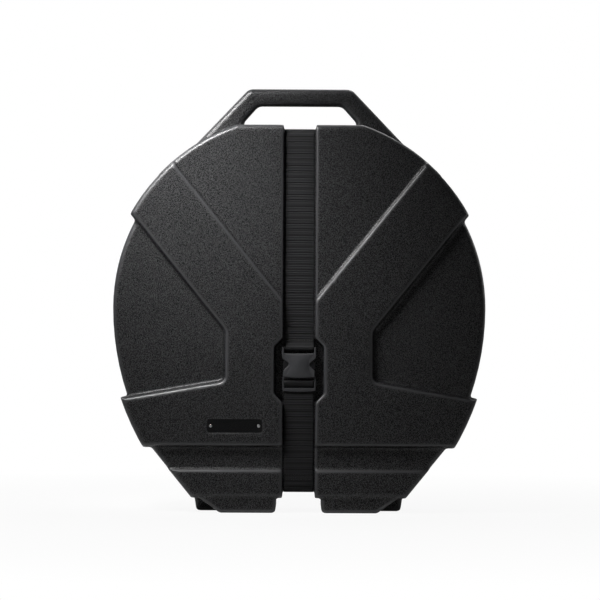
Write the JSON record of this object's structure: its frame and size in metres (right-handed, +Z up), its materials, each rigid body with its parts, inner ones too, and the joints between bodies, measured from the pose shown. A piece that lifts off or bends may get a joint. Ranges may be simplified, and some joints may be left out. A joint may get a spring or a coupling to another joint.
{
  "type": "cymbal case",
  "caption": "Round moulded two-part cymbal case with a telescoping lid, a webbing strap with a side-release buckle, a carrying handle, feet, foam pads and a centre post.",
  "frame": {"origin": "on the surface that the case stands on, between its feet, halfway through its width and depth", "axes": "+Z up, through the handle; -Y towards the lid's face; +X to the right as seen from the lid's side"},
  "size_m": [0.6388, 0.2, 0.7301],
  "materials": {
    "shell": "fine grained black moulded polyethylene",
    "foam": "dark open foam",
    "felt": "pressed dark felt",
    "steel": "plain zinc-plated steel",
    "webbing": "black ribbed webbing",
    "buckle": "smooth grey-black moulded plastic",
    "plate": "plain black plate",
    "rivet": "bright aluminium"
  },
  "bodies": {
    "base": {"rear_shell": "shell", "base_foam_pad": "foam", "post_flange": "steel", "flange_rivet_1": "steel", "flange_rivet_2": "steel", "flange_rivet_3": "steel", "flange_rivet_4": "steel", "retaining_post": "steel", "lower_felt": "felt", "strap_rear": "webbing"},
    "lid": {"front_shell": "shell", "lid_foam_pad": "foam", "badge_plate": "plate", "badge_rivet_left": "rivet", "badge_rivet_right": "rivet", "strap_front_upper": "webbing", "strap_front_lower": "webbing", "buckle_socket": "buckle", "buckle_plug": "buckle"},
    "arm_left": {"buckle_arm_left": "buckle"},
    "arm_right": {"buckle_arm_right": "buckle"},
    "clamp": {"upper_felt": "felt", "clamp_washer": "steel"},
    "nut": {"wing_nut": "steel"}
  },
  "joints": [
    {"name": "lid_slide", "type": "slide", "parent": "base", "child": "lid", "axis": [0, -1, 0], "range_m": [0, 0.12]},
    {"name": "arm_left_press", "type": "hinge", "parent": "lid", "child": "arm_left", "pos_m": [-0.01525, -0.0876, 0.232], "axis": [0, 1, 0], "range_deg": [0, 13], "stiffness_Nm_per_rad": 0.2},
    {"name": "arm_right_press", "type": "hinge", "parent": "lid", "child": "arm_right", "pos_m": [0.01525, -0.0876, 0.232], "axis": [0, -1, 0], "range_deg": [0, 13], "stiffness_Nm_per_rad": 0.2},
    {"name": "clamp_slide", "type": "slide", "parent": "base", "child": "clamp", "axis": [0, -1, 0], "range_m": [0, 0.06]},
    {"name": "nut_spin", "type": "hinge", "parent": "clamp", "child": "nut", "pos_m": [0, 0, 0.3495], "axis": [0, -1, 0], "range_deg": [0, 4320]}
  ],
  "couplings": [
    {"joint": "arm_right_press", "follows": "arm_left_press", "ratio": 1},
    {"joint": "nut_spin", "follows": "clamp_slide", "rad_per_m": 1256.6}
  ]
}
